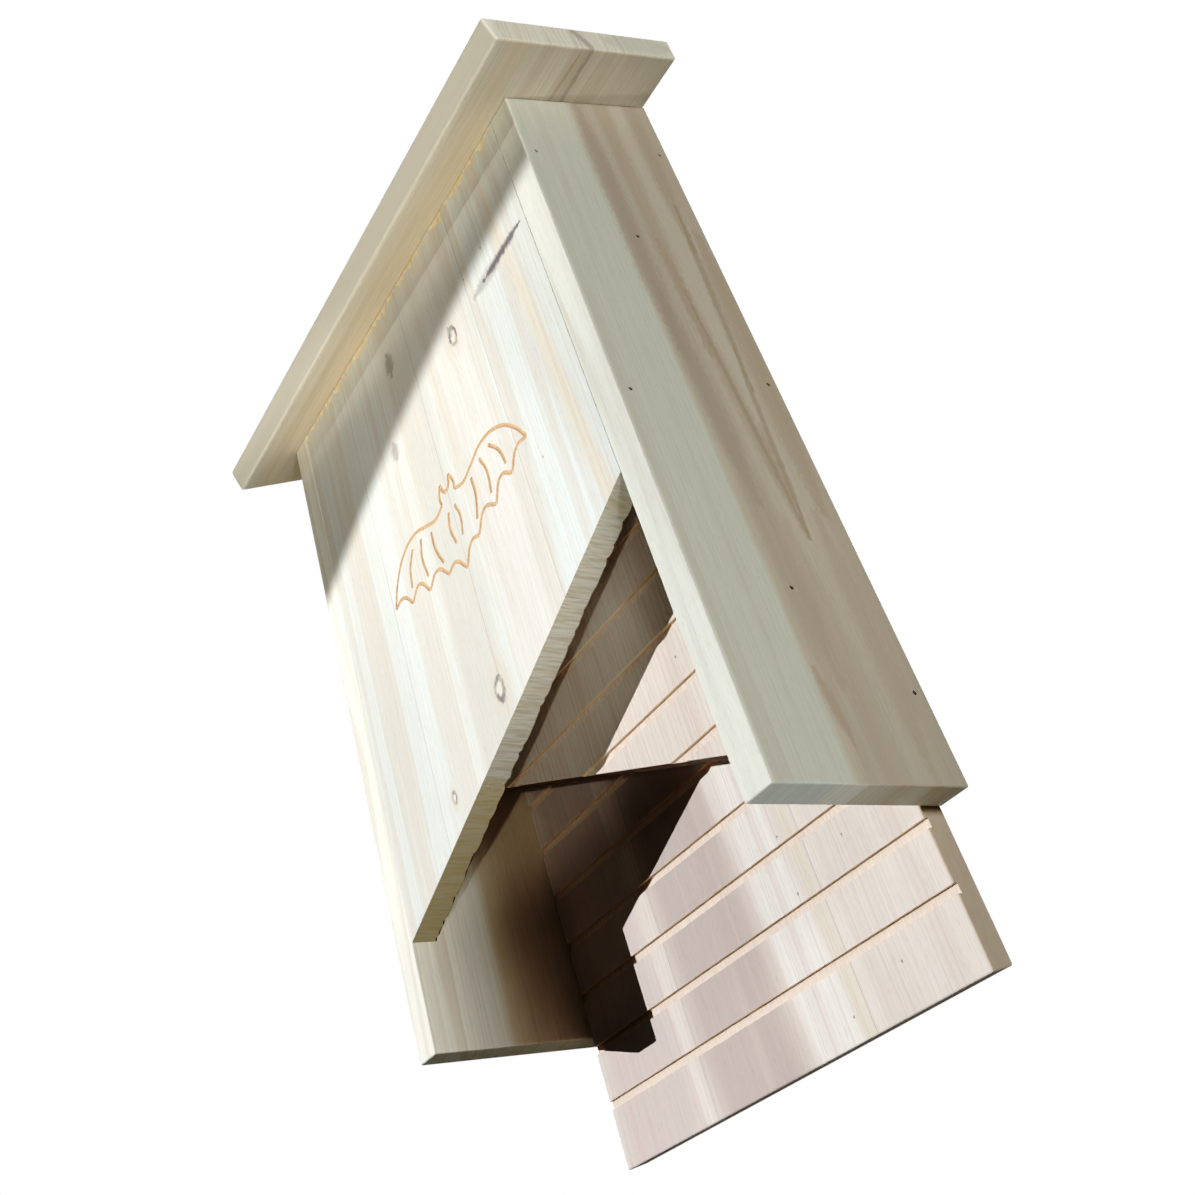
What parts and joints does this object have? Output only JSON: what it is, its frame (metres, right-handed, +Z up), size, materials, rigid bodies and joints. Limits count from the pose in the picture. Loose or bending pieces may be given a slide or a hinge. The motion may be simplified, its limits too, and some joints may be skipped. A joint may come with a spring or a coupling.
{
  "type": "bat box",
  "caption": "Wall-hung wooden bat box: sloping roof board, slanted front panel, grooved inner partition and a longer grooved back panel below the entrance.",
  "frame": {"origin": "on the wall plane (the rear faces of the back panel and of the side boards), on the centre line, level with the bottom ends of the side boards", "axes": "+Z up along the back panel, +Y out of the rear face towards the wall, +X to the right side seen from the front"},
  "size_m": [0.247, 0.0948, 0.3601],
  "materials": {
    "roof_fir": "bare sawn and planed fir, dry, matt, grey-brown with small knots",
    "side_fir": "bare planed fir, matt, with brown heartwood streaks",
    "front_fir": "bare planed fir in edge-glued staves, matt, with a few knots",
    "partition_fir": "bare planed fir, matt, saw-grooved",
    "back_fir": "bare planed fir in edge-glued staves, matt, saw-grooved",
    "brad_steel": "plain wire nail, set below the surface"
  },
  "bodies": {
    "root": {"roof_board": "roof_fir", "right_side_board": "side_fir", "left_side_board": "side_fir", "front_panel": "front_fir", "inner_partition": "partition_fir", "back_panel": "back_fir", "roof_brad_right_1": "brad_steel", "roof_brad_right_2": "brad_steel", "roof_brad_right_3": "brad_steel", "roof_brad_left_1": "brad_steel", "roof_brad_left_2": "brad_steel", "roof_brad_left_3": "brad_steel", "front_brad_right_1": "brad_steel", "front_brad_right_2": "brad_steel", "front_brad_left_1": "brad_steel", "front_brad_left_2": "brad_steel", "front_brad_left_3": "brad_steel", "partition_brad_right_1": "brad_steel", "partition_brad_right_2": "brad_steel", "partition_brad_left_1": "brad_steel", "partition_brad_left_2": "brad_steel", "back_brad_right_1": "brad_steel", "back_brad_right_2": "brad_steel", "back_brad_right_3": "brad_steel", "back_brad_left_1": "brad_steel", "back_brad_left_2": "brad_steel", "back_brad_left_3": "brad_steel"}
  },
  "joints": []
}
